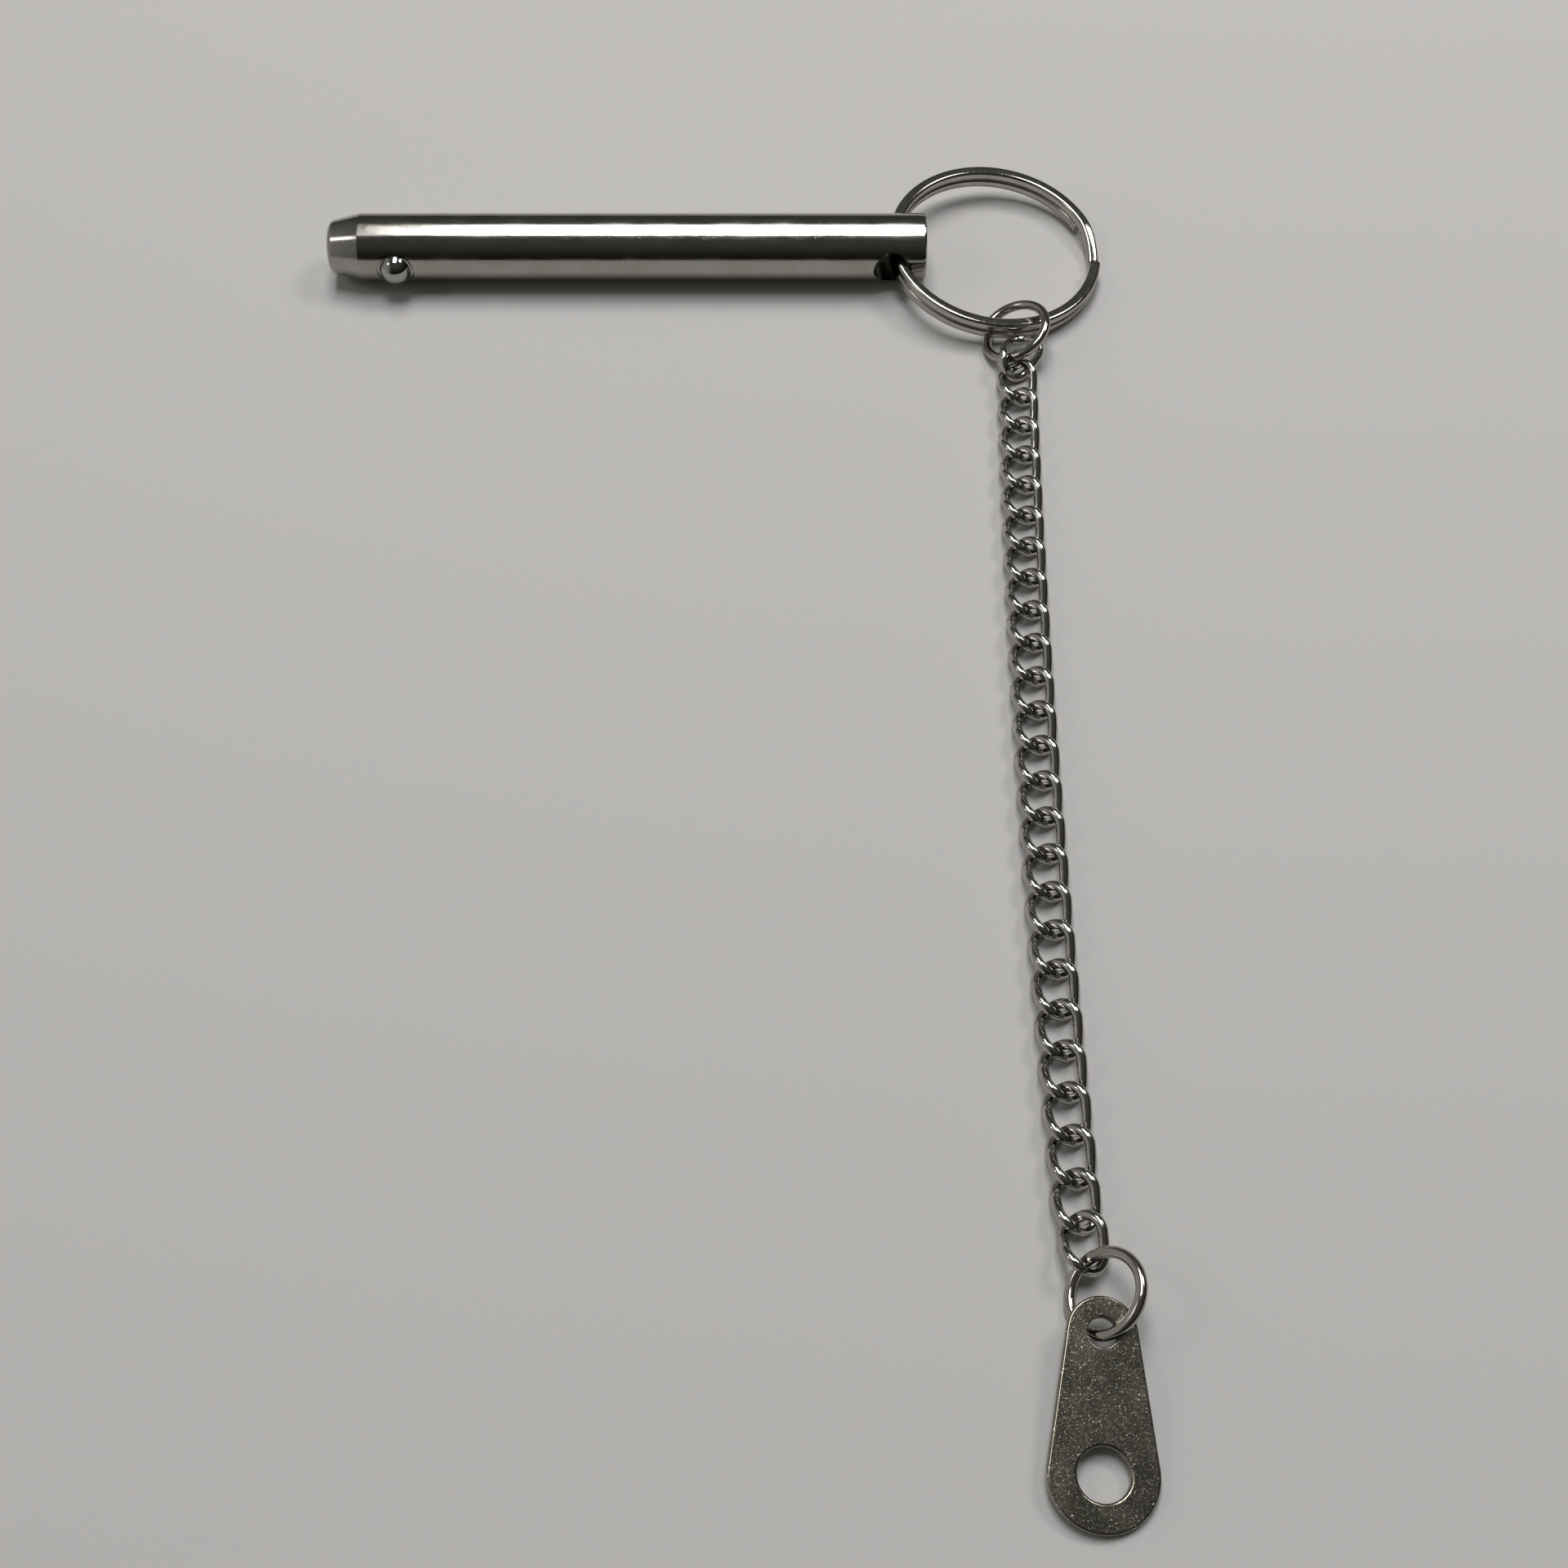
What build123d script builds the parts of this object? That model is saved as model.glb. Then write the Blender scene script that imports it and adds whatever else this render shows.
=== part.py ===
from build123d import *
import os
from math import acos, asin, cos, degrees, radians, sin, sqrt, tan

# A ball detent pin on a keeper chain, lying as it is laid down: pin, split ring, open jump ring,
# curb chain, closed jump ring and fastening tab. Millimetres, +Z up. The origin is the centre of
# the pin's tail face and +X leaves that face, so the shank runs back along -X. The chain runs
# along -Y, and everything rests on the plane z = -pin_diameter / 2.

os.makedirs("parts", exist_ok=True)

# ---- Pin ---------------------------------------------------------------------------------------
pin_diameter = 10.0
pin_length = 90.0
nose_length = 4.8
nose_tip_diameter = 7.7
nose_edge_radius = 0.8
tail_chamfer = 0.4
ring_hole_diameter = 5.7
ring_hole_from_tail = 5.1

# ---- Ball detent -------------------------------------------------------------------------------
ball_diameter = 4.76
ball_from_tip = 10.2
ball_proud = 1.75
ball_clearance = 0.04
pocket_back_wall = 1.4
stake_lip = 0.22
stake_groove_width = 0.18
stake_groove_depth = 0.3
spring_wire = 0.4
spring_turns = 5.5
spring_side_clearance = 0.3
spring_end_clearance = 0.02

# ---- Split ring: two turns of flattened wire ---------------------------------------------------
split_ring_diameter = 32.5
split_wire_width = 1.7
split_wire_height = 1.5
split_wire_corner = 0.5
split_coil_gap = 0.04
split_step_start = -5.0
split_step_turn = 30.0
split_end_gap = 2.0
split_ring_play = 0.35
split_ring_shift = 0.85
split_ring_rock = 1.8

# ---- Jump rings: round wire --------------------------------------------------------------------
jump_ring_diameter = 11.0
jump_wire = 1.4
jump_seat_gap = 0.1
open_ring_around = -82.0
open_ring_out = 1.27
open_ring_rise = 0.765
open_ring_reach = 0.889
open_ring_rock = -8.46
open_ring_step = 1.17
open_ring_end = 229.0
open_ring_gap = 3.0
closed_ring_end = 200.0
closed_ring_gap = 0.6
closed_ring_pitch = -1.7
closed_ring_roll = -39.5
closed_ring_ahead = 3.47
closed_ring_aside = 2.01

# ---- Curb chain --------------------------------------------------------------------------------
link_count = 26
link_wire = 1.3
link_width = 6.0
chain_pitch = 5.5
link_play = 0.1
link_twist = 42.0
link_side_bow = 0.15
link_bow_radius = 6.0
link_bend_share = 0.92
link_seam = 0.05
link_seam_from_bend = 0.12
chain_bow = 1.1
chain_from_ring = 5.785
first_link_pitch = 4.1
first_link_roll = 20.7
first_link_yaw = -32.6
first_link_slack = 0.974
first_link_aside = -0.874
first_link_rise = 0.382
last_link_pitch = -8.95
last_link_roll = -1.0
last_link_aside = 0.26
last_link_back = 0.12
last_link_rise = 0.78

# ---- Tab ---------------------------------------------------------------------------------------
tab_thickness = 1.2
tab_width = 12.7
tab_small_end = 8.2
tab_centres = 15.4
tab_hole_diameter = 6.0
tab_eye_diameter = 3.4
tab_edge_radius = 0.3
tab_hole_lip = 0.35
tab_eye_lip = 0.2
tab_pitch = 6.8
tab_roll = 4.8
tab_yaw = -2.8
tab_eye_aside = 0.67
tab_eye_ahead = 4.44

# ---- Derived sizes and places ------------------------------------------------------------------
pin_radius = pin_diameter / 2
floor_z = -pin_radius
hole_x = -ring_hole_from_tail

ball_radius = ball_diameter / 2
ball_x = ball_from_tip - pin_length
ball_y = ball_radius - pin_radius - ball_proud
pocket_radius = ball_radius + ball_clearance
pocket_floor_y = pin_radius - pocket_back_wall

band_height = 2 * split_wire_height + split_coil_gap
split_radius = (split_ring_diameter - split_wire_width) / 2
jump_radius = (jump_ring_diameter - jump_wire) / 2



def lying(origin, pitch=0.0, roll=0.0, yaw=0.0):
    """A plane at a point, rolled about Y, then pitched about X, then turned about Z (degrees)."""
    return Plane(origin=origin).rotated((roll, pitch, yaw), ordering=Extrinsic.YXZ)


# ---- Punched groove that closes the pocket's lip, following the round of the shank --------------
with BuildPart() as stake_groove:
    with BuildSketch(Plane(origin=(ball_x, ball_y, 0), z_dir=(0, -1, 0))):
        Circle(pocket_radius + stake_lip + stake_groove_width)
        Circle(pocket_radius + stake_lip, mode=Mode.SUBTRACT)
    extrude(amount=pin_radius)
    with BuildSketch(Plane.YZ.offset(-pin_length)):
        Circle(pin_radius - stake_groove_depth)
    extrude(amount=pin_length, mode=Mode.SUBTRACT)

# ---- Pin body ----------------------------------------------------------------------------------
with BuildPart() as pin_body:
    with BuildSketch(Plane.XZ) as half_section:
        with BuildLine():
            Polyline(
                (0, 0),
                (0, pin_radius - tail_chamfer),
                (-tail_chamfer, pin_radius),
                (nose_length - pin_length, pin_radius),
                (-pin_length, nose_tip_diameter / 2),
                (-pin_length, 0),
                close=True,
            )
        make_face()
        tip_edge = half_section.vertices().group_by(Axis.X)[0].sort_by(Axis.Z)[-1]
        fillet(tip_edge, radius=nose_edge_radius)
    revolve(axis=Axis.X)

    # Cross hole for the split ring
    with Locations(Plane(origin=(hole_x, -pin_radius, 0), z_dir=(0, -1, 0))):
        Hole(ring_hole_diameter / 2)

    # Detent pocket: drilled from the -Y side, its lip closed over the ball
    with BuildSketch(Plane(origin=(ball_x, ball_y, 0), z_dir=(0, 1, 0))):
        Circle(pocket_radius)
    extrude(amount=pocket_floor_y - ball_y, mode=Mode.SUBTRACT)
    with Locations(Plane(origin=(ball_x, ball_y, 0), z_dir=(0, -1, 0))):
        Sphere(pocket_radius, mode=Mode.SUBTRACT)
    add(stake_groove.part, mode=Mode.SUBTRACT)
pin_body.part.label = "pin_body"
export_step(pin_body.part, "parts/pin_body.step")

# ---- Detent ball and its spring ----------------------------------------------------------------
with BuildPart() as detent_ball:
    with Locations((ball_x, ball_y, 0)):
        Sphere(ball_radius)
detent_ball.part.label = "detent_ball"
export_step(detent_ball.part, "parts/detent_ball.step")

spring_radius = pocket_radius - spring_side_clearance - spring_wire / 2
spring_reach = sqrt((ball_radius + spring_wire / 2) ** 2 - spring_radius**2)
spring_start_y = ball_y + spring_reach + spring_end_clearance
spring_height = pocket_floor_y - spring_wire / 2 - spring_end_clearance - spring_start_y

with BuildPart() as detent_spring:
    with BuildLine() as coil:
        Helix(
            pitch=spring_height / spring_turns,
            height=spring_height,
            radius=spring_radius,
            center=(ball_x, spring_start_y, 0),
            direction=(0, 1, 0),
        )
    with BuildSketch(Plane(origin=coil.line @ 0, z_dir=coil.line % 0)):
        Circle(spring_wire / 2)
    sweep(path=coil.line, is_frenet=True)
detent_spring.part.label = "detent_spring"
export_step(detent_spring.part, "parts/detent_spring.step")

# ---- Split ring --------------------------------------------------------------------------------
# Its wire passes through the cross hole, and its far side leans down to the floor.
split_lean = degrees(asin((pin_radius - band_height / 2) / (split_ring_diameter / 2 + split_radius)))
split_tilt = acos(cos(radians(split_lean)) * cos(radians(split_ring_rock)))
split_centre = Vector(
    hole_x + split_ring_play + split_radius * cos(radians(split_lean)),
    split_ring_shift,
    floor_z + split_ring_diameter / 2 * sin(split_tilt) + band_height / 2 * cos(split_tilt),
)
split_plane = lying(split_centre, pitch=split_ring_rock, roll=split_lean)
coil_rise = split_wire_height + split_coil_gap
coil_turn = 360.0 - split_step_turn - split_end_gap
step_end = split_step_start + split_step_turn
step_sections = 7


def across_coil(angle, height):
    """The plane square across the split ring's wire: x runs outwards, y along the ring's axis."""
    place = Rot(Z=angle) * Pos(X=split_radius, Z=height) * Rot(X=90)
    return Plane(split_plane.location * place)


with BuildPart() as split_ring:
    for start, height in ((step_end + split_end_gap, -coil_rise / 2), (step_end, coil_rise / 2)):
        with BuildSketch(across_coil(start, height)):
            RectangleRounded(split_wire_width, split_wire_height, split_wire_corner)
        revolve(axis=Axis(split_centre, split_plane.z_dir), revolution_arc=coil_turn)
    for i in range(step_sections):
        share = i / (step_sections - 1)
        rise = share * share * (3 - 2 * share) - 0.5
        with BuildSketch(across_coil(split_step_start + share * split_step_turn, rise * coil_rise)):
            RectangleRounded(split_wire_width, split_wire_height, split_wire_corner)
    loft()
split_ring.part.label = "split_ring"
export_step(split_ring.part, "parts/split_ring.step")

# ---- Open jump ring: round the split ring's band and through the first link --------------------
open_ring_lean = degrees(
    asin((band_height / 2 + jump_wire / 2 + jump_seat_gap) / (open_ring_reach * jump_radius))
)
open_ring_plane = Plane(
    split_plane.location
    * Rot(Z=open_ring_around)
    * Pos(X=split_radius + open_ring_out, Z=open_ring_rise)
    * Rot(X=open_ring_lean)
    * Rot(Y=open_ring_rock)
    * Rot(Z=open_ring_end)
)



def on_open_ring(share):
    """The open ring's centre line, from its lower end round to the upper one, in its own plane."""
    angle = radians(share * (360.0 - open_ring_gap))
    return (jump_radius * cos(angle), jump_radius * sin(angle), (share - 0.5) * open_ring_step)


with BuildPart() as jump_ring_pin:
    with BuildLine(open_ring_plane) as open_wire:
        Spline(*[on_open_ring(i / 16) for i in range(17)])
    with BuildSketch(Plane(origin=open_wire.line @ 0, z_dir=open_wire.line % 0)):
        Circle(jump_wire / 2)
    sweep(path=open_wire.line)
jump_ring_pin.part.label = "jump_ring_pin"
export_step(jump_ring_pin.part, "parts/jump_ring_pin.step")

# ---- Curb link: one twisted loop of wire with a butt seam --------------------------------------
link_side_x = (link_width - link_wire) / 2
link_end_x = link_side_x - link_side_bow
link_end_y = (chain_pitch + link_wire + link_play) / 2
link_end_z = link_end_x * tan(radians(link_twist))
link_corners = [
    Vector(-link_end_x, link_end_y, -link_end_z),
    Vector(-link_side_x, 0, 0),
    Vector(-link_end_x, -link_end_y, link_end_z),
    Vector(link_end_x, -link_end_y, -link_end_z),
    Vector(link_side_x, 0, 0),
    Vector(link_end_x, link_end_y, link_end_z),
]
end_run = link_corners[0] - link_corners[-1]
side_run = link_corners[1] - link_corners[0]
bend_reach = link_bend_share * end_run.length / 2
bend_radius = bend_reach / tan(radians(end_run.get_angle(side_run)) / 2)
seam_start = link_corners[0] + side_run.normalized() * (bend_reach + link_seam_from_bend)
seam_end = seam_start + side_run.normalized() * link_seam
link_points = [tuple(at) for at in (seam_end, *link_corners[1:], link_corners[0], seam_start)]
link_bends = [link_bow_radius, bend_radius, bend_radius, link_bow_radius, bend_radius, bend_radius]

with BuildLine() as link_form:
    FilletPolyline(*link_points, radius=link_bends)
link_z = floor_z + link_wire / 2 - link_form.line.bounding_box().min.Z

# ---- Where the links lie: a slack line along -Y that bows a little -----------------------------
chain_start = open_ring_plane.origin - Vector(0, chain_from_ring, 0)


def crossing(number):
    """Where a link hooks into the one below it; the last one hooks into the closed ring."""
    along = 1 - 2 * (number - 1) / (link_count - 1)
    across = chain_start.X - chain_bow * (1 - along**2)
    return Vector(across, chain_start.Y - (number - 1) * chain_pitch, link_z)


link_planes = [
    Plane(
        lying(crossing(1), first_link_pitch, first_link_roll, first_link_yaw).location
        * Pos(first_link_aside, chain_pitch / 2 - first_link_slack, first_link_rise)
    )
]
for number in range(2, link_count + 1):
    top, bottom = crossing(number - 1), crossing(number)
    heading = degrees(asin((bottom - top).X / (bottom - top).length))
    link_planes.append(lying((top + bottom) / 2, yaw=heading))
link_planes[-1] = Plane(
    link_planes[-1].location
    * Pos(last_link_aside, last_link_back, last_link_rise)
    * Rot(X=last_link_pitch)
    * Rot(Y=last_link_roll)
)

for number, plane in enumerate(link_planes, start=1):
    with BuildPart() as link:
        with BuildLine(plane) as wire_line:
            FilletPolyline(*link_points, radius=link_bends)
        with BuildSketch(Plane(origin=wire_line.wire() @ 0, z_dir=wire_line.wire() % 0)):
            Circle(link_wire / 2)
        sweep(path=wire_line.wire())
    link.part.label = f"link_{number:02d}"
    export_step(link.part, f"parts/link_{number:02d}.step")

# ---- Closed jump ring: hooks the last link and the tab's eye -----------------------------------
closed_ring_tilt = acos(cos(radians(closed_ring_pitch)) * cos(radians(closed_ring_roll)))
closed_ring_centre = Vector(
    crossing(link_count).X + closed_ring_aside,
    crossing(link_count).Y - closed_ring_ahead,
    floor_z + jump_wire / 2 + jump_radius * sin(closed_ring_tilt),
)
closed_ring_plane = lying(closed_ring_centre, closed_ring_pitch, closed_ring_roll)

with BuildPart() as jump_ring_tab:
    with BuildLine(closed_ring_plane) as closed_wire:
        CenterArc((0, 0), jump_radius, closed_ring_end, 360.0 - closed_ring_gap)
    with BuildSketch(Plane(origin=closed_wire.line @ 0, z_dir=closed_wire.line % 0)):
        Circle(jump_wire / 2)
    sweep(path=closed_wire.line)
jump_ring_tab.part.label = "jump_ring_tab"
export_step(jump_ring_tab.part, "parts/jump_ring_tab.step")

# ---- Tab: its wide end on the floor, its eye carried by the closed ring ------------------------
tab_way = lying((0, 0, 0), tab_pitch, tab_roll, tab_yaw)
tab_tilt = acos(tab_way.z_dir.Z)
eye_reach = tab_way.y_dir * tab_centres
tab_plane = Plane(
    origin=(
        closed_ring_centre.X - tab_eye_aside - eye_reach.X,
        closed_ring_centre.Y - tab_eye_ahead - eye_reach.Y,
        floor_z + tab_width / 2 * sin(tab_tilt) + tab_thickness / 2 * cos(tab_tilt),
    ),
    x_dir=tab_way.x_dir,
    z_dir=tab_way.z_dir,
)

with BuildPart() as tab:
    with BuildSketch(tab_plane.offset(-tab_thickness / 2)):
        Circle(tab_width / 2)
        with Locations((0, tab_centres)):
            Circle(tab_small_end / 2)
        make_hull()
    extrude(amount=tab_thickness)
    fillet(tab.faces().filter_by(tab_plane).edges(), radius=tab_edge_radius)
    with Locations(tab_plane.offset(tab_thickness / 2)):
        Hole(tab_hole_diameter / 2)
    fillet(tab.edges(Select.LAST).filter_by(GeomType.CIRCLE), radius=tab_hole_lip)
    with Locations(Plane(tab_plane.location * Pos(Y=tab_centres, Z=tab_thickness / 2))):
        Hole(tab_eye_diameter / 2)
    fillet(tab.edges(Select.LAST).filter_by(GeomType.CIRCLE), radius=tab_eye_lip)
tab.part.label = "tab"
export_step(tab.part, "parts/tab.step")
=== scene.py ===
from math import acos, asin, cos, degrees, pi, radians, sin, sqrt, tan

import bpy
from mathutils import Matrix, Vector


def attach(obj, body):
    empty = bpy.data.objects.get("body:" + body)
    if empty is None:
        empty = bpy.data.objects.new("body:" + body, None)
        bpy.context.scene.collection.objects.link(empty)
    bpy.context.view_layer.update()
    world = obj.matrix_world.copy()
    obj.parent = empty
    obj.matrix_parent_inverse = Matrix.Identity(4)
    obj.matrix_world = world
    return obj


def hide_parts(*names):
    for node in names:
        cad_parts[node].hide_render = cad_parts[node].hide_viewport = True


# A ball detent pin on its keeper chain, finished as metal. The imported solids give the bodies; each
# visible piece is drawn out again here at the same size and place, in millimetres, and then scaled
# to metres. The pin's tail face is at the origin, its shank runs along -X, the chain along -Y.

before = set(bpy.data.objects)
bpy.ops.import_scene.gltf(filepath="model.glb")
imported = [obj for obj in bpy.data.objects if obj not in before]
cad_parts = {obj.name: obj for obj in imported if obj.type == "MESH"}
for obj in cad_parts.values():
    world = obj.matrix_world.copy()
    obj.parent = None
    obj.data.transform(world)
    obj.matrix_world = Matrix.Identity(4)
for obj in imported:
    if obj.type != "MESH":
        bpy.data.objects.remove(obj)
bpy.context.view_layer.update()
MM = 0.001
UP = Vector((0, 0, 1))

# ---- Sizes of the pin and its detent -----------------------------------------------------------
pin_diameter = 10.0
pin_length = 90.0
nose_length = 4.8
nose_tip_diameter = 7.7
nose_edge_radius = 0.8
tail_chamfer = 0.4
ring_hole_diameter = 5.7
ring_hole_from_tail = 5.1
ball_diameter = 4.76
ball_from_tip = 10.2
ball_proud = 1.75
ball_clearance = 0.04
pocket_back_wall = 1.4
stake_lip = 0.22
stake_groove_width = 0.18
stake_groove_depth = 0.3
spring_wire = 0.4
spring_turns = 5.5
spring_side_clearance = 0.3
spring_end_clearance = 0.02

# ---- Sizes of the rings ------------------------------------------------------------------------
split_ring_diameter = 32.5
split_wire_width = 1.7
split_wire_height = 1.5
split_wire_corner = 0.5
split_coil_gap = 0.04
split_step_start = -5.0
split_step_turn = 30.0
split_end_gap = 2.0
split_ring_play = 0.35
split_ring_shift = 0.85
split_ring_rock = 1.8
jump_ring_diameter = 11.0
jump_wire = 1.4
jump_seat_gap = 0.1
open_ring_around = -82.0
open_ring_out = 1.27
open_ring_rise = 0.765
open_ring_reach = 0.889
open_ring_rock = -8.46
open_ring_step = 1.17
open_ring_end = 229.0
open_ring_gap = 3.0
closed_ring_end = 200.0
closed_ring_gap = 0.6
closed_ring_pitch = -1.7
closed_ring_roll = -39.5
closed_ring_ahead = 3.47
closed_ring_aside = 2.01

# ---- Sizes of the chain ------------------------------------------------------------------------
link_count = 26
link_wire = 1.3
link_width = 6.0
chain_pitch = 5.5
link_play = 0.1
link_twist = 42.0
link_side_bow = 0.15
link_bow_radius = 6.0
link_bend_share = 0.92
link_seam = 0.05
link_seam_from_bend = 0.12
link_lowest = 1.66
chain_bow = 1.1
chain_from_ring = 5.785
first_link_pitch = 4.1
first_link_roll = 20.7
first_link_yaw = -32.6
first_link_slack = 0.974
first_link_aside = -0.874
first_link_rise = 0.382
last_link_pitch = -8.95
last_link_roll = -1.0
last_link_aside = 0.26
last_link_back = 0.12
last_link_rise = 0.78

# ---- Sizes of the tab --------------------------------------------------------------------------
tab_thickness = 1.2
tab_width = 12.7
tab_small_end = 8.2
tab_centres = 15.4
tab_hole_diameter = 6.0
tab_eye_diameter = 3.4
tab_edge_radius = 0.3
tab_hole_lip = 0.35
tab_eye_lip = 0.2
tab_pitch = 6.8
tab_roll = 4.8
tab_yaw = -2.8
tab_eye_aside = 0.67
tab_eye_ahead = 4.44

# ---- Derived sizes -----------------------------------------------------------------------------
pin_radius = pin_diameter / 2
floor_z = -pin_radius
hole_x = -ring_hole_from_tail
ball_radius = ball_diameter / 2
ball_x = ball_from_tip - pin_length
ball_y = ball_radius - pin_radius - ball_proud
pocket_radius = ball_radius + ball_clearance
pocket_floor_y = pin_radius - pocket_back_wall
band_height = 2 * split_wire_height + split_coil_gap
split_radius = (split_ring_diameter - split_wire_width) / 2
jump_radius = (jump_ring_diameter - jump_wire) / 2

# ---- Fineness of the meshes --------------------------------------------------------------------
wire_sides = 20
spring_sides = 10
bend_step = 7.5
shank_sides = 256
bore_sides = 96
plate_sides = 128
ball_cuts = 23
jump_ring_steps = 90
split_turn_steps = 160
split_step_steps = 16
spring_steps_per_turn = 28
nose_edge_steps = 8
tail_chamfer_steps = 3
split_corner_steps = 6
tab_edge_steps = 5
edge_softness = 0.05
edge_softness_steps = 2
closed_ring_softness = 0.01
loop_beside_hole = 4.0
loop_beside_ball = 3.4


# ---- Where things lie --------------------------------------------------------------------------
def turned(angle, axis):
    return Matrix.Rotation(radians(angle), 4, axis)


def moved(x=0.0, y=0.0, z=0.0):
    return Matrix.Translation((x, y, z))


def lying(at, pitch=0.0, roll=0.0, yaw=0.0):
    """A place at a point, rolled about Y, then pitched about X, then turned about Z (degrees)."""
    return moved(*at) @ turned(yaw, "Z") @ turned(pitch, "X") @ turned(roll, "Y")


split_lean = degrees(asin((pin_radius - band_height / 2) / (split_ring_diameter / 2 + split_radius)))
split_tilt = acos(cos(radians(split_lean)) * cos(radians(split_ring_rock)))
split_place = lying(
    (
        hole_x + split_ring_play + split_radius * cos(radians(split_lean)),
        split_ring_shift,
        floor_z + split_ring_diameter / 2 * sin(split_tilt) + band_height / 2 * cos(split_tilt),
    ),
    pitch=split_ring_rock,
    roll=split_lean,
)
open_ring_lean = degrees(
    asin((band_height / 2 + jump_wire / 2 + jump_seat_gap) / (open_ring_reach * jump_radius))
)
open_ring_place = (
    split_place
    @ turned(open_ring_around, "Z")
    @ moved(x=split_radius + open_ring_out, z=open_ring_rise)
    @ turned(open_ring_lean, "X")
    @ turned(open_ring_rock, "Y")
    @ turned(open_ring_end, "Z")
)
chain_start = open_ring_place.translation - Vector((0, chain_from_ring, 0))


def crossing(number):
    """Where a link hooks into the one below it; the last one hooks into the closed ring."""
    along = 1 - 2 * (number - 1) / (link_count - 1)
    across = chain_start.x - chain_bow * (1 - along**2)
    return Vector((across, chain_start.y - (number - 1) * chain_pitch, floor_z + link_lowest))


def link_place(number):
    """The middle of a link on the slack line, its long axis along the line."""
    if number == 1:
        first = lying(crossing(1), first_link_pitch, first_link_roll, first_link_yaw)
        return first @ moved(first_link_aside, chain_pitch / 2 - first_link_slack, first_link_rise)
    top, bottom = crossing(number - 1), crossing(number)
    place = lying((top + bottom) / 2, yaw=degrees(asin((bottom - top).x / (bottom - top).length)))
    if number < link_count:
        return place
    place = place @ moved(last_link_aside, last_link_back, last_link_rise)
    return place @ turned(last_link_pitch, "X") @ turned(last_link_roll, "Y")


closed_ring_tilt = acos(cos(radians(closed_ring_pitch)) * cos(radians(closed_ring_roll)))
closed_ring_place = lying(
    (
        crossing(link_count).x + closed_ring_aside,
        crossing(link_count).y - closed_ring_ahead,
        floor_z + jump_wire / 2 + jump_radius * sin(closed_ring_tilt),
    ),
    closed_ring_pitch,
    closed_ring_roll,
)
tab_way = lying((0, 0, 0), tab_pitch, tab_roll, tab_yaw)
tab_tilt = acos((tab_way @ UP).z)
eye_reach = tab_way @ Vector((0, tab_centres, 0))
tab_place = lying(
    (
        closed_ring_place.translation.x - tab_eye_aside - eye_reach.x,
        closed_ring_place.translation.y - tab_eye_ahead - eye_reach.y,
        floor_z + tab_width / 2 * sin(tab_tilt) + tab_thickness / 2 * cos(tab_tilt),
    ),
    tab_pitch,
    tab_roll,
    tab_yaw,
)


# ---- Modelling by hand -------------------------------------------------------------------------
def pick(piece):
    """Makes a piece the only one selected, with no piece open."""
    if bpy.context.mode != "OBJECT":
        bpy.ops.object.mode_set(mode="OBJECT")
    bpy.ops.object.select_all(action="DESELECT")
    piece.select_set(True)
    bpy.context.view_layer.objects.active = piece


def edit(piece):
    """Opens a piece for editing with all of it selected."""
    pick(piece)
    bpy.ops.object.mode_set(mode="EDIT")
    bpy.ops.mesh.select_all(action="SELECT")


def select_faces(piece, wanted):
    """Selects the faces of an open piece that a test wants."""
    bpy.ops.mesh.select_mode(type="FACE")
    bpy.ops.mesh.select_all(action="DESELECT")
    bpy.ops.object.mode_set(mode="OBJECT")
    for face in piece.data.polygons:
        face.select = wanted(face)
    bpy.ops.object.mode_set(mode="EDIT")


def named(name):
    """Names the piece that was just added; its own axes become the shared ones."""
    piece = bpy.context.object
    piece.name = piece.data.name = name
    bpy.ops.object.transform_apply(location=True, rotation=True, scale=True)
    return piece


def cylinder(name, sides, radius, depth, at=(0, 0, 0), turn=(0, 0, 0)):
    """Adds a named cylinder by its size, place and turn; it stands along Z when not turned."""
    bpy.ops.mesh.primitive_cylinder_add(
        vertices=sides, radius=radius, depth=depth, location=at, rotation=turn
    )
    return named(name)


def apply_modifier(piece, kind, **settings):
    """Adds a modifier with its settings and makes its result final."""
    pick(piece)
    modifier = piece.modifiers.new(kind.lower(), kind)
    for key, value in settings.items():
        setattr(modifier, key, value)
    bpy.ops.object.modifier_apply(modifier=modifier.name)


def cut(piece, cutter):
    """Takes the cutter's shape out of a piece and removes the cutter."""
    apply_modifier(piece, "BOOLEAN", operation="DIFFERENCE", solver="EXACT", object=cutter)
    bpy.data.objects.remove(cutter)


def settle(piece, place, crisp_from=32):
    """Puts a finished piece in its place, in metres, with smooth faces and crisp edges."""
    pick(piece)
    piece.data.transform(Matrix.Scale(MM, 4) @ place)
    bpy.ops.object.shade_smooth_by_angle(angle=radians(crisp_from))
    return piece


def begin_wire(name, radius, at, way, sides=wire_sides):
    """One ring of points square to the wire, selected and ready to be drawn out."""
    facing = Vector(way).to_track_quat("Z", "Y").to_euler()
    bpy.ops.mesh.primitive_circle_add(vertices=sides, radius=radius, location=at, rotation=facing)
    piece = named(name)
    edit(piece)
    return piece


def draw_on(step):
    """Draws what is selected straight on by one step."""
    bpy.ops.mesh.extrude_region_move(TRANSFORM_OT_translate={"value": step})


def bend_on(centre, axis, angle, steps):
    """Draws the wire on round a bend. Spin turns left-handed, so the angle is negated."""
    bpy.ops.mesh.spin(steps=steps, angle=-angle, center=centre, axis=axis)


def wind_on(angle, rise):
    """Draws the wire on round Z by an angle and lifts its end by a rise."""
    bend_on((0, 0, 0), (0, 0, 1), angle, 1)
    bpy.ops.transform.translate(value=(0, 0, rise))


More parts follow.
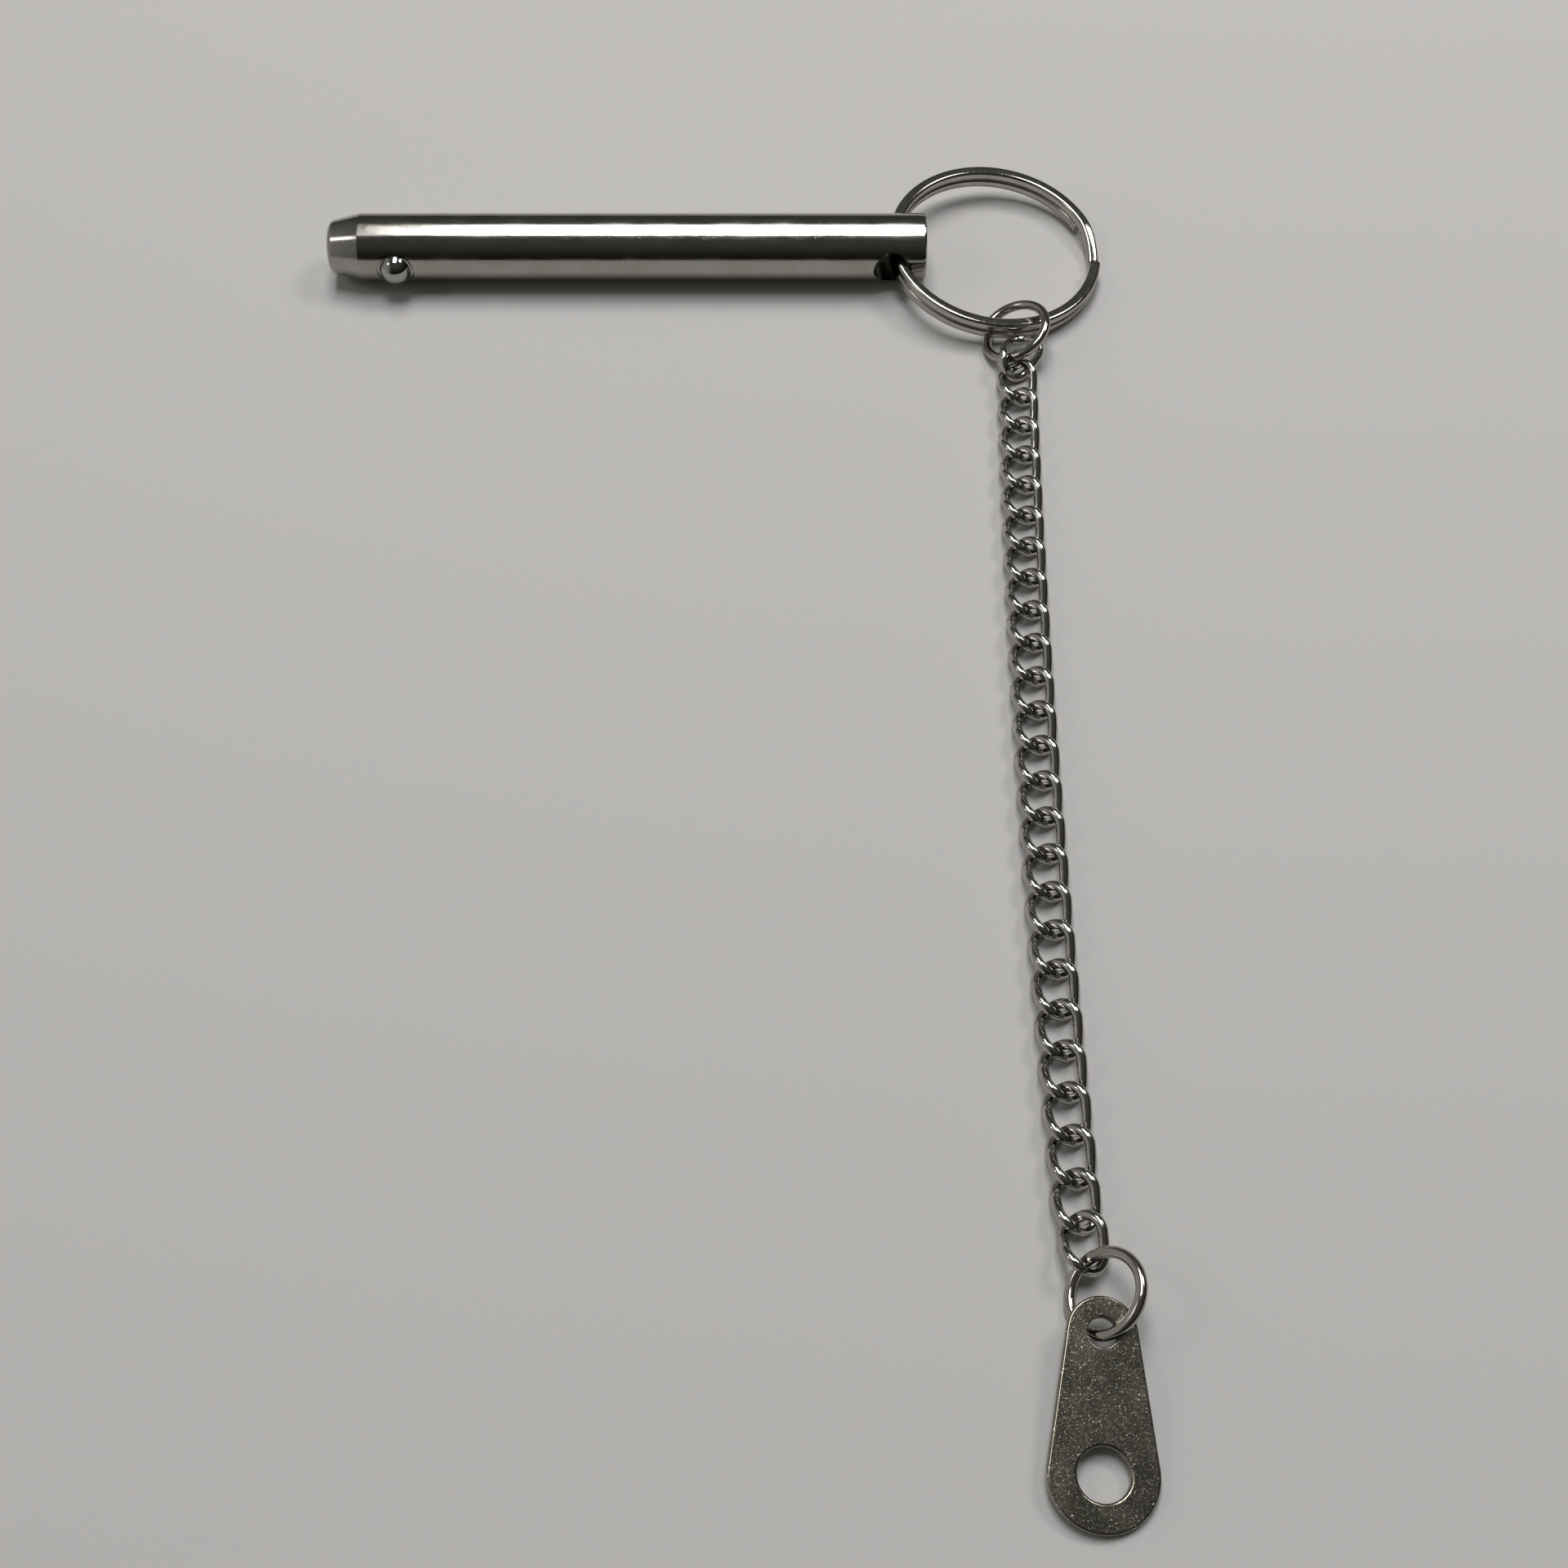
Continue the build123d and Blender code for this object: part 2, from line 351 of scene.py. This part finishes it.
def soften_sharp_edges(offset):
    """Rounds the sharp edges of an open piece and closes it."""
    bpy.ops.mesh.select_mode(type="EDGE")
    bpy.ops.mesh.select_all(action="DESELECT")
    bpy.ops.mesh.edges_select_sharp(sharpness=radians(60))
    bpy.ops.mesh.bevel(offset=offset, segments=tab_edge_steps, affect="EDGES")
    bpy.ops.object.mode_set(mode="OBJECT")


def close_wire(piece, softness=edge_softness):
    """Closes the two cut ends and takes the sharpness off their rims."""
    bpy.ops.mesh.select_all(action="DESELECT")
    bpy.ops.mesh.select_mode(type="EDGE")
    bpy.ops.mesh.select_non_manifold()
    bpy.ops.mesh.fill_holes(sides=0)
    bpy.ops.mesh.bevel(offset=softness, segments=edge_softness_steps, affect="EDGES")
    bpy.ops.mesh.select_all(action="SELECT")
    bpy.ops.mesh.normals_make_consistent(inside=False)
    bpy.ops.object.mode_set(mode="OBJECT")
    return piece


def bent_wire(name, radius, points, bend_radii):
    """A wire drawn straight from point to point, with a bend of its own radius at each corner."""
    here = points[0]
    piece = begin_wire(name, radius, here, points[1] - here)
    for before, corner, after, bend_radius in zip(points, points[1:], points[2:], bend_radii):
        into = (corner - before).normalized()
        out = (after - corner).normalized()
        turn = into.angle(out)
        reach = bend_radius * tan(turn / 2)
        axis = into.cross(out).normalized()
        bend_start = corner - into * reach
        centre = bend_start + axis.cross(into) * bend_radius
        draw_on(bend_start - here)
        bend_on(centre, axis, turn, max(2, round(degrees(turn) / bend_step)))
        here = corner + out * reach
    draw_on(points[-1] - here)
    return close_wire(piece)


# ---- Pin ---------------------------------------------------------------------------------------
along_x = (0, pi / 2, 0)
along_y = (pi / 2, 0, 0)


def pocket_cutter():
    """The drilled pocket, its mouth narrowed by the lip that is closed over the ball."""
    bpy.ops.mesh.primitive_uv_sphere_add(
        segments=bore_sides,
        ring_count=bore_sides // 2,
        radius=pocket_radius,
        location=(ball_x, ball_y, 0),
        rotation=(-pi / 2, 0, 0),
    )
    cutter = named("pocket_cutter")
    edit(cutter)
    bpy.ops.mesh.bisect(
        plane_co=(ball_x, ball_y, 0), plane_no=(0, 1, 0), clear_outer=True, use_fill=False
    )
    draw_on((0, pocket_floor_y - ball_y, 0))
    bpy.ops.mesh.edge_face_add()
    bpy.ops.mesh.select_all(action="SELECT")
    bpy.ops.mesh.normals_make_consistent(inside=False)
    bpy.ops.object.mode_set(mode="OBJECT")
    return cutter


def stake_groove_cutter():
    """A punched ring round the pocket's mouth that follows the round of the shank."""
    inner = pocket_radius + stake_lip
    outer = inner + stake_groove_width
    floor_radius = pin_radius - stake_groove_depth
    mouth = (ball_x, -pin_radius, 0)
    groove = cylinder("stake_groove_cutter", bore_sides, outer, pin_diameter, mouth, along_y)
    cut(groove, cylinder("groove_core", bore_sides, inner, 2 * pin_diameter, mouth, along_y))
    at_ball = (ball_x, 0, 0)
    cut(
        groove,
        cylinder("groove_floor", shank_sides, floor_radius, 2 * pin_diameter, at_ball, along_x),
    )
    return groove


def make_pin_body():
    """A bar with a tapered nose, a chamfered tail, a staked pocket and the hole for the ring."""
    shank_length = pin_length - nose_length
    middle = (-shank_length / 2, 0, 0)
    piece = cylinder("pin_body", shank_sides, pin_radius, shank_length, middle, along_x)
    edit(piece)
    select_faces(piece, lambda face: face.normal.x < -0.9)
    draw_on((-nose_length, 0, 0))
    taper = nose_tip_diameter / pin_diameter
    bpy.ops.transform.resize(value=(1, taper, taper))
    bpy.ops.mesh.bevel(offset=nose_edge_radius, segments=nose_edge_steps, affect="EDGES")
    select_faces(piece, lambda face: face.normal.x > 0.9)
    bpy.ops.mesh.bevel(offset=tail_chamfer, segments=tail_chamfer_steps, affect="EDGES")
    # Cuts across the shank keep its long faces clear of the two openings.
    for x in (
        hole_x - loop_beside_hole,
        hole_x + loop_beside_hole,
        ball_x - loop_beside_ball,
        ball_x + loop_beside_ball,
        -pin_length / 2,
    ):
        bpy.ops.mesh.select_all(action="SELECT")
        bpy.ops.mesh.bisect(plane_co=(x, 0, 0), plane_no=(1, 0, 0))
    bpy.ops.object.mode_set(mode="OBJECT")
    cut(piece, stake_groove_cutter())
    cut(piece, pocket_cutter())
    hole_radius = ring_hole_diameter / 2
    at_hole = (hole_x, 0, 0)
    cut(
        piece,
        cylinder("ring_hole_cutter", bore_sides, hole_radius, 2 * pin_diameter, at_hole, along_y),
    )
    apply_modifier(
        piece,
        "BEVEL",
        width=edge_softness,
        segments=edge_softness_steps,
        limit_method="ANGLE",
        angle_limit=radians(50),
    )
    return settle(piece, Matrix.Identity(4), crisp_from=11.5)


def make_detent_ball():
    """A ball without poles: a finely divided cube drawn to a sphere."""
    bpy.ops.mesh.primitive_cube_add(size=ball_diameter)
    piece = named("detent_ball")
    edit(piece)
    bpy.ops.mesh.subdivide(number_cuts=ball_cuts)
    bpy.ops.transform.tosphere(value=1)
    bpy.ops.object.mode_set(mode="OBJECT")
    reached = piece.data.vertices[0].co.length
    piece.data.transform(Matrix.Scale(ball_radius / reached, 4))
    return settle(piece, moved(ball_x, ball_y, 0))


def make_detent_spring():
    """The coil behind the ball, wound along +Y from the ball to the pocket's floor."""
    coil_radius = pocket_radius - spring_side_clearance - spring_wire / 2
    reach = sqrt((ball_radius + spring_wire / 2) ** 2 - coil_radius**2)
    start_y = ball_y + reach + spring_end_clearance
    height = pocket_floor_y - spring_wire / 2 - spring_end_clearance - start_y
    wire_start = (coil_radius, 0, 0)
    piece = begin_wire("detent_spring", spring_wire / 2, wire_start, (0, 1, 0), spring_sides)
    steps = round(spring_turns * spring_steps_per_turn)
    for _ in range(steps):
        wind_on(2 * pi * spring_turns / steps, height / steps)
    close_wire(piece)
    return settle(piece, moved(ball_x, start_y, 0) @ turned(-90, "X"))


# ---- Rings -------------------------------------------------------------------------------------
def make_split_ring():
    """Two turns of flattened wire that step from the lower turn up to the upper one."""
    bpy.ops.mesh.primitive_plane_add(size=1, location=(split_radius, 0, 0), rotation=along_y)
    piece = named("split_ring")
    edit(piece)
    bpy.ops.transform.resize(
        value=(split_wire_width, 1, split_wire_height), center_override=(split_radius, 0, 0)
    )
    bpy.ops.mesh.bevel(offset=split_wire_corner, segments=split_corner_steps, affect="VERTICES")
    bpy.ops.mesh.delete(type="ONLY_FACE")
    bpy.ops.mesh.select_all(action="SELECT")
    coil_rise = split_wire_height + split_coil_gap
    coil_turn = radians(360 - split_step_turn - split_end_gap)
    start = split_step_start + split_step_turn + split_end_gap
    bpy.ops.transform.translate(value=(0, 0, -coil_rise / 2))
    bend_on((0, 0, 0), (0, 0, 1), coil_turn, split_turn_steps)
    rise_before = 0
    for i in range(1, split_step_steps + 1):
        share = i / split_step_steps
        rise = share * share * (3 - 2 * share) * coil_rise
        wind_on(radians(split_step_turn) / split_step_steps, rise - rise_before)
        rise_before = rise
    bend_on((0, 0, 0), (0, 0, 1), coil_turn, split_turn_steps)
    close_wire(piece)
    return settle(piece, split_place @ turned(start, "Z"))


def make_open_ring():
    """One turn of round wire whose cut ends stand apart, one above the other."""
    start = (jump_radius, 0, -open_ring_step / 2)
    piece = begin_wire("jump_ring_pin", jump_wire / 2, start, (0, 1, 0))
    for _ in range(jump_ring_steps):
        wind_on(radians(360 - open_ring_gap) / jump_ring_steps, open_ring_step / jump_ring_steps)
    close_wire(piece)
    return settle(piece, open_ring_place)


def make_closed_ring():
    """One flat turn of round wire, its cut ends almost touching."""
    piece = begin_wire("jump_ring_tab", jump_wire / 2, (jump_radius, 0, 0), (0, 1, 0))
    bend_on((0, 0, 0), (0, 0, 1), radians(360 - closed_ring_gap), jump_ring_steps)
    close_wire(piece, closed_ring_softness)
    return settle(piece, closed_ring_place @ turned(closed_ring_end, "Z"))


# ---- Chain -------------------------------------------------------------------------------------
def make_link():
    """One twisted loop of round wire, with its butt seam in the far left side run."""
    side_x = (link_width - link_wire) / 2
    end_x = side_x - link_side_bow
    end_y = (chain_pitch + link_wire + link_play) / 2
    end_z = end_x * tan(radians(link_twist))
    corners = [
        Vector((-end_x, end_y, -end_z)),
        Vector((-side_x, 0, 0)),
        Vector((-end_x, -end_y, end_z)),
        Vector((end_x, -end_y, -end_z)),
        Vector((side_x, 0, 0)),
        Vector((end_x, end_y, end_z)),
    ]
    end_run = corners[0] - corners[-1]
    side_run = corners[1] - corners[0]
    bend_reach = link_bend_share * end_run.length / 2
    bend = bend_reach / tan(end_run.angle(side_run) / 2)
    way = side_run.normalized()
    seam_start = corners[0] + way * (bend_reach + link_seam_from_bend)
    seam_end = seam_start + way * link_seam
    points = [seam_end, *corners[1:], corners[0], seam_start]
    bow = link_bow_radius
    return bent_wire("link_01", link_wire / 2, points, [bow, bend, bend, bow, bend, bend])


def make_chain():
    """Copies of one link, each laid in its place on the slack line."""
    first = make_link()
    links = [first]
    for number in range(2, link_count + 1):
        link = first.copy()
        link.data = first.data.copy()
        link.name = link.data.name = f"link_{number:02d}"
        bpy.context.collection.objects.link(link)
        links.append(link)
    return [settle(link, link_place(number)) for number, link in enumerate(links, start=1)]


# ---- Tab ---------------------------------------------------------------------------------------
def make_tab():
    """A stamped plate: two round ends joined by straight flanks, with a hole in each end."""
    piece = cylinder("tab", plate_sides, tab_width / 2, tab_thickness)
    edit(piece)
    bpy.ops.mesh.primitive_cylinder_add(
        vertices=bore_sides,
        radius=tab_small_end / 2,
        depth=tab_thickness,
        location=(0, tab_centres, 0),
    )
    bpy.ops.mesh.select_all(action="SELECT")
    bpy.ops.mesh.convex_hull()
    bpy.ops.mesh.dissolve_limited(angle_limit=radians(0.5))
    soften_sharp_edges(tab_edge_radius)
    for y, diameter, lip in (
        (0, tab_hole_diameter, tab_hole_lip),
        (tab_centres, tab_eye_diameter, tab_eye_lip),
    ):
        depth = 3 * tab_thickness
        cut(piece, cylinder("tab_hole_cutter", bore_sides, diameter / 2, depth, (0, y, 0)))
        edit(piece)
        soften_sharp_edges(lip)
    settle(piece, tab_place)
    apply_modifier(piece, "WEIGHTED_NORMAL", keep_sharp=True)
    return piece


# ---- Metals ------------------------------------------------------------------------------------
cloud_scale = 260
speck_scale = 5200
# Painted glints: sparse pale spots at this scale and in this colour stand in for sparkling
# highlights.
painted_glint_scale = 3400
painted_glint_colour = (0.80, 0.79, 0.74, 1)


def metal(
    name,
    light,
    dark,
    roughness,
    grain,
    grain_depth,
    pit_depth,
    scratch,
    grain_stretch=(1, 1, 1),
    painted_glint_share=0.0,
):
    """A procedural metal: cloudy tone, uneven polish, fine grain, hairline scratches, and painted
    glints (pale spots in the base colour that stand in for sparkle).
    """
    material = bpy.data.materials.new(name)
    material.use_nodes = True
    nodes, links = material.node_tree.nodes, material.node_tree.links
    shader = nodes["Principled BSDF"]
    shader.inputs["Metallic"].default_value = 1.0
    place = nodes.new("ShaderNodeTexCoord")
    stretch = nodes.new("ShaderNodeMapping")
    stretch.inputs["Scale"].default_value = grain_stretch
    links.new(place.outputs["Object"], stretch.inputs["Vector"])

    def noise(scale, detail, source):
        texture = nodes.new("ShaderNodeTexNoise")
        texture.inputs["Scale"].default_value = scale
        texture.inputs["Detail"].default_value = detail
        links.new(source, texture.inputs["Vector"])
        return texture.outputs["Fac"]

    def ramp(source, low, high, first, last):
        mapped = nodes.new("ShaderNodeMapRange")
        values = (("From Min", low), ("From Max", high), ("To Min", first), ("To Max", last))
        for socket, value in values:
            mapped.inputs[socket].default_value = value
        links.new(source, mapped.inputs["Value"])
        return mapped.outputs["Result"]

    cloud = noise(cloud_scale, 3, place.outputs["Object"])
    fine = noise(grain, 5, stretch.outputs["Vector"])
    speck = noise(speck_scale, 2, place.outputs["Object"])
    glint_spots = noise(painted_glint_scale, 0, place.outputs["Object"])

    tone = nodes.new("ShaderNodeMix")
    tone.data_type = "RGBA"
    tone.inputs["A"].default_value = (*dark, 1)
    tone.inputs["B"].default_value = (*light, 1)
    links.new(ramp(cloud, 0.3, 0.7, 0.0, 1.0), tone.inputs["Factor"])
    # Painted glints: the sparse spots pull the tone toward a pale colour and stand in for sparkling
    # highlights.
    painted_glints = nodes.new("ShaderNodeMix")
    painted_glints.data_type = "RGBA"
    painted_glints.inputs["B"].default_value = painted_glint_colour
    links.new(tone.outputs["Result"], painted_glints.inputs["A"])
    links.new(ramp(glint_spots, 0.68, 0.76, 0.0, painted_glint_share), painted_glints.inputs["Factor"])
    links.new(painted_glints.outputs["Result"], shader.inputs["Base Color"])

    uneven = nodes.new("ShaderNodeMath")
    uneven.operation = "ADD"
    links.new(ramp(cloud, 0.3, 0.7, roughness * 0.85, roughness * 1.15), uneven.inputs[0])
    links.new(ramp(fine, 0.45, 0.8, 0.0, scratch), uneven.inputs[1])
    links.new(uneven.outputs["Value"], shader.inputs["Roughness"])

    relief = nodes.new("ShaderNodeMath")
    relief.operation = "ADD"
    links.new(ramp(fine, 0.0, 1.0, 0.0, grain_depth), relief.inputs[0])
    links.new(ramp(speck, 0.62, 0.8, 0.0, -pit_depth), relief.inputs[1])
    bump = nodes.new("ShaderNodeBump")
    bump.inputs["Strength"].default_value = 1.0
    bump.inputs["Distance"].default_value = MM
    links.new(relief.outputs["Value"], bump.inputs["Height"])
    links.new(bump.outputs["Normal"], shader.inputs["Normal"])
    return material


pin_steel = metal(
    "pin_steel",
    light=(0.38, 0.37, 0.34),
    dark=(0.32, 0.31, 0.28),
    roughness=0.12,
    grain=1500,
    grain_stretch=(0.15, 1, 1),
    grain_depth=0.004,
    pit_depth=0.006,
    scratch=0.12,
)
ball_steel = metal(
    "ball_steel",
    light=(0.40, 0.395, 0.38),
    dark=(0.35, 0.345, 0.33),
    roughness=0.06,
    grain=900,
    grain_depth=0.003,
    pit_depth=0.001,
    scratch=0.05,
)
spring_steel = metal(
    "spring_steel",
    light=(0.40, 0.40, 0.40),
    dark=(0.30, 0.30, 0.30),
    roughness=0.30,
    grain=1500,
    grain_depth=0.004,
    pit_depth=0.002,
    scratch=0.10,
)
ring_nickel = metal(
    "ring_nickel",
    light=(0.44, 0.425, 0.385),
    dark=(0.36, 0.345, 0.31),
    roughness=0.10,
    grain=1800,
    grain_depth=0.004,
    pit_depth=0.003,
    scratch=0.10,
)
chain_nickel = metal(
    "chain_nickel",
    light=(0.46, 0.45, 0.42),
    dark=(0.38, 0.37, 0.34),
    roughness=0.09,
    grain=1800,
    grain_depth=0.004,
    pit_depth=0.003,
    scratch=0.10,
)
tab_steel = metal(
    "tab_steel",
    light=(0.24, 0.23, 0.185),
    dark=(0.195, 0.186, 0.148),
    roughness=0.18,
    grain=2600,
    grain_depth=0.0012,
    pit_depth=0.010,
    scratch=0.08,
    # Painted glints on the tab: pale spots in the base colour stand in for sparkle.
    painted_glint_share=0.6,
)

# ---- The pieces, each on its own body ----------------------------------------------------------
pieces = [
    (make_pin_body(), pin_steel, "pin", "pin_steel"),
    (make_detent_ball(), ball_steel, "detent_ball", "ball_steel"),
    (make_detent_spring(), spring_steel, "pin", "spring_steel"),
    (make_split_ring(), ring_nickel, "split_ring", "ring_nickel"),
    (make_open_ring(), ring_nickel, "jump_ring_pin", "ring_nickel"),
    (make_closed_ring(), ring_nickel, "jump_ring_tab", "ring_nickel"),
    (make_tab(), tab_steel, "tab", "tab_steel"),
]
for number, link in enumerate(make_chain(), start=1):
    pieces.append((link, chain_nickel, f"link_{number:02d}", "chain_nickel"))

for piece, material, body, slot in pieces:
    node = piece.name.split(".")[0]
    piece.data.materials.clear()
    piece.data.materials.append(material)
    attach(piece, body)
    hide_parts(node)

# ---- Floor -------------------------------------------------------------------------------------
floor_size = 3.0
floor_drop = 0.02
bpy.ops.mesh.primitive_plane_add(size=floor_size, location=(0, 0, (floor_z - floor_drop) * MM))
floor = bpy.context.object
floor.name = "floor"
paint = bpy.data.materials.new("pale_floor")
paint.use_nodes = True
paint_shader = paint.node_tree.nodes["Principled BSDF"]
paint_shader.inputs["Base Color"].default_value = (0.60, 0.585, 0.575, 1)
paint_shader.inputs["Roughness"].default_value = 0.9
paint_shader.inputs["Specular IOR Level"].default_value = 0.1
floor.data.materials.append(paint)


# ---- Light -------------------------------------------------------------------------------------
def softbox(name, at, size_x, size_y, power):
    """A level soft light that shines straight down."""
    light = bpy.data.lights.new(name, "AREA")
    light.shape = "RECTANGLE"
    light.size, light.size_y = size_x, size_y
    light.energy = power
    lamp = bpy.data.objects.new(name, light)
    lamp.location = at
    bpy.context.collection.objects.link(lamp)


softbox("overhead_softbox", at=(-0.055, 0.33, 1.08), size_x=0.41, size_y=0.86, power=8.4)
softbox("key_light", at=(0.62, 0.36, 0.95), size_x=0.36, size_y=0.36, power=3.2)
softbox("left_light", at=(-0.80, -0.10, 0.75), size_x=0.30, size_y=0.18, power=0.7)

world = bpy.data.worlds.new("studio")
bpy.context.scene.world = world
world.use_nodes = True
sky_nodes, sky_links = world.node_tree.nodes, world.node_tree.links
backdrop = sky_nodes["Background"]
direction = sky_nodes.new("ShaderNodeTexCoord")
split_way = sky_nodes.new("ShaderNodeSeparateXYZ")
sky_links.new(direction.outputs["Generated"], split_way.inputs["Vector"])


def side_glow(axis, dark_at, bright_at, level):
    """Brightness that grows smoothly toward one side of the room."""
    glow = sky_nodes.new("ShaderNodeMapRange")
    glow.interpolation_type = "SMOOTHSTEP"
    values = (("From Min", dark_at), ("From Max", bright_at), ("To Min", 0.0), ("To Max", level))
    for socket, value in values:
        glow.inputs[socket].default_value = value
    sky_links.new(split_way.outputs[axis], glow.inputs["Value"])
    return glow.outputs["Result"]


def added(first, second):
    """The sum of two brightnesses."""
    total = sky_nodes.new("ShaderNodeMath")
    total.operation = "ADD"
    sky_links.new(first, total.inputs[0])
    sky_links.new(second, total.inputs[1])
    return total.outputs["Value"]


ceiling = side_glow("Z", dark_at=0.1, bright_at=1.0, level=0.08)
left_wall = side_glow("X", dark_at=-0.35, bright_at=-0.85, level=0.36)
far_wall = side_glow("Y", dark_at=0.3, bright_at=1.0, level=0.05)
glow = added(added(ceiling, left_wall), far_wall)
shade = sky_nodes.new("ShaderNodeMix")
shade.data_type = "RGBA"
shade.inputs["A"].default_value = (0.012, 0.011, 0.009, 1)
shade.inputs["B"].default_value = (0.98, 0.96, 0.92, 1)
sky_links.new(glow, shade.inputs["Factor"])
sky_links.new(shade.outputs["Result"], backdrop.inputs["Color"])
backdrop.inputs["Strength"].default_value = 1.0

# ---- Camera ------------------------------------------------------------------------------------
camera_data = bpy.data.cameras.new("camera")
camera_data.sensor_width = 36.0
camera_data.lens = 50.6
camera_data.clip_start = 0.01
camera = bpy.data.objects.new("camera", camera_data)
camera.location = (-0.0214, -0.2442, 0.24139)
camera.rotation_euler = (radians(31.64), 0, 0)
bpy.context.collection.objects.link(camera)
bpy.context.scene.camera = camera
bpy.context.scene.view_settings.view_transform = "Standard"
